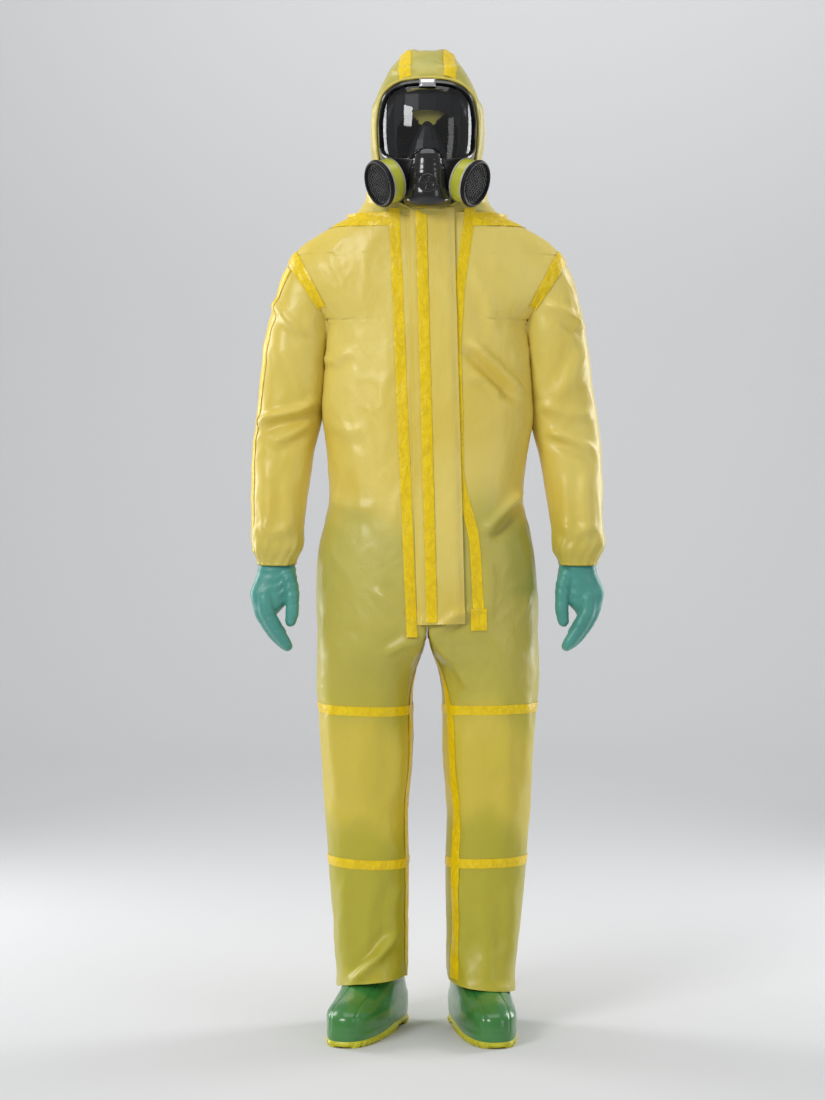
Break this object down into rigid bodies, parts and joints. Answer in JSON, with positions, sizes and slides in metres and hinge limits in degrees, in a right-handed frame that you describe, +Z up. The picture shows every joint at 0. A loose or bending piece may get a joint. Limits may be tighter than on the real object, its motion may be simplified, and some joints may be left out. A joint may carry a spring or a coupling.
{
  "type": "chemical protective suit",
  "caption": "Hooded one-piece chemical protective suit with taped seams, gauntlet gloves, knee boots and a full-face filter mask, standing in its worn shape.",
  "frame": {"origin": "on the floor, under the middle of the suit's bounding box", "axes": "+Z up through the hood, the suit faces -Y, +X is the wearer's left"},
  "size_m": [0.666, 0.3388, 1.85],
  "materials": {
    "laminate": "smooth satin plastic laminate",
    "seam_tape": "glossy, lightly crinkled",
    "elastic": "matt knitted elastic",
    "glove_rubber": "satin",
    "boot_rubber": "glossy",
    "sole_rubber": "satin",
    "mask_rubber": "satin",
    "mask_plastic": "semi-gloss",
    "lens": "clear, polished",
    "filter_body": "semi-gloss",
    "zip_black": "matt"
  },
  "bodies": {
    "suit": {"front_panel_left": "laminate", "front_panel_right": "laminate", "back_panel": "laminate", "placket_left": "laminate", "placket_right": "laminate", "front_seam_tape_left": "seam_tape", "front_seam_tape_right": "seam_tape", "neck_seam_tape": "seam_tape", "armhole_tape_left": "seam_tape", "armhole_tape_right": "seam_tape", "sleeve_shoulder_left": "laminate", "sleeve_shoulder_right": "laminate", "knee_panel_left": "laminate", "knee_panel_right": "laminate", "shin_panel_left": "laminate", "shin_panel_right": "laminate", "leg_seam_tapes_left": "seam_tape", "leg_seam_tapes_right": "seam_tape", "flap_base": "laminate", "zip_tape_left": "zip_black", "zip_tape_right": "zip_black", "zip_chain": "zip_black", "boot_upper_left": "boot_rubber", "boot_upper_right": "boot_rubber", "boot_sole_left": "sole_rubber", "boot_sole_right": "sole_rubber"},
    "hood": {"hood_centre": "laminate", "hood_side_left": "laminate", "hood_side_right": "laminate", "hood_seam_tape_left": "seam_tape", "hood_seam_tape_right": "seam_tape", "face_elastic": "elastic", "head_harness": "mask_rubber"},
    "mask": {"visor_lens": "lens", "facepiece": "mask_rubber", "face_seal": "mask_rubber", "nose_cup": "mask_rubber", "port_housing": "mask_plastic", "exhalation_valve_cover": "mask_plastic", "inlet_connector_left": "mask_plastic", "inlet_connector_right": "mask_plastic"},
    "exhalation_valve": {"exhalation_valve_disc": "mask_rubber"},
    "flap": {"storm_flap": "laminate", "flap_tape": "seam_tape"},
    "zip": {"zip_slider": "zip_black", "zip_pull": "zip_black"},
    "upper_sleeve_left": {"sleeve_upper_left": "laminate", "sleeve_elbow_left": "laminate"},
    "forearm_left": {"sleeve_forearm_left": "laminate", "cuff_elastic_left": "elastic"},
    "glove_left": {"glove_left": "glove_rubber"},
    "cartridge_left": {"cartridge_body_left": "filter_body", "cartridge_grille_left": "mask_plastic"},
    "upper_sleeve_right": {"sleeve_upper_right": "laminate", "sleeve_elbow_right": "laminate"},
    "forearm_right": {"sleeve_forearm_right": "laminate", "cuff_elastic_right": "elastic"},
    "glove_right": {"glove_right": "glove_rubber"},
    "cartridge_right": {"cartridge_body_right": "filter_body", "cartridge_grille_right": "mask_plastic"}
  },
  "joints": [
    {"name": "hood_turn", "type": "hinge", "parent": "suit", "child": "hood", "pos_m": [0, 0.0554, 1.531], "axis": [0, 0, 1], "range_deg": [-35, 35]},
    {"name": "mask_pull_off", "type": "slide", "parent": "hood", "child": "mask", "axis": [0, -1, 0], "range_m": [0, 0.08], "stiffness_N_per_m": 60, "deforming": ["head_harness"]},
    {"name": "exhalation_valve_lift", "type": "slide", "parent": "mask", "child": "exhalation_valve", "axis": [0, -1, 0], "range_m": [0, 0.0025], "stiffness_N_per_m": 20},
    {"name": "flap_swing", "type": "hinge", "parent": "suit", "child": "flap", "pos_m": [-0.02, -0.0793, 1.1455], "axis": [0.0262, -0.0547, -0.9982], "range_deg": [0, 160]},
    {"name": "zip_slide", "type": "slide", "parent": "suit", "child": "zip", "axis": [0.0262, -0.0547, -0.9982], "range_m": [0, 0.66]},
    {"name": "shoulder_left", "type": "hinge", "parent": "suit", "child": "upper_sleeve_left", "pos_m": [0.219, 0.0474, 1.396], "axis": [-1, 0, 0], "range_deg": [-30, 100], "deforming": ["sleeve_shoulder_left"]},
    {"name": "elbow_left", "type": "hinge", "parent": "upper_sleeve_left", "child": "forearm_left", "pos_m": [0.26, 0.0614, 1.15], "axis": [-1, 0, 0], "range_deg": [0, 88], "deforming": ["sleeve_elbow_left"]},
    {"name": "glove_pull_off_left", "type": "slide", "parent": "forearm_left", "child": "glove_left", "axis": [0.0623, -0.1438, -0.9876], "range_m": [0, 0.1]},
    {"name": "cartridge_twist_left", "type": "hinge", "parent": "mask", "child": "cartridge_left", "pos_m": [0.064, -0.0686, 1.594], "axis": [0.8003, -0.5302, -0.2801], "range_deg": [0, 45]},
    {"name": "shoulder_right", "type": "hinge", "parent": "suit", "child": "upper_sleeve_right", "pos_m": [-0.219, 0.0474, 1.396], "axis": [-1, 0, 0], "range_deg": [-30, 100], "deforming": ["sleeve_shoulder_right"]},
    {"name": "elbow_right", "type": "hinge", "parent": "upper_sleeve_right", "child": "forearm_right", "pos_m": [-0.26, 0.0614, 1.15], "axis": [-1, 0, 0], "range_deg": [0, 88], "deforming": ["sleeve_elbow_right"]},
    {"name": "glove_pull_off_right", "type": "slide", "parent": "forearm_right", "child": "glove_right", "axis": [-0.0623, -0.1438, -0.9876], "range_m": [0, 0.1]},
    {"name": "cartridge_twist_right", "type": "hinge", "parent": "mask", "child": "cartridge_right", "pos_m": [-0.064, -0.0686, 1.594], "axis": [-0.8003, -0.5302, -0.2801], "range_deg": [0, 45]}
  ]
}
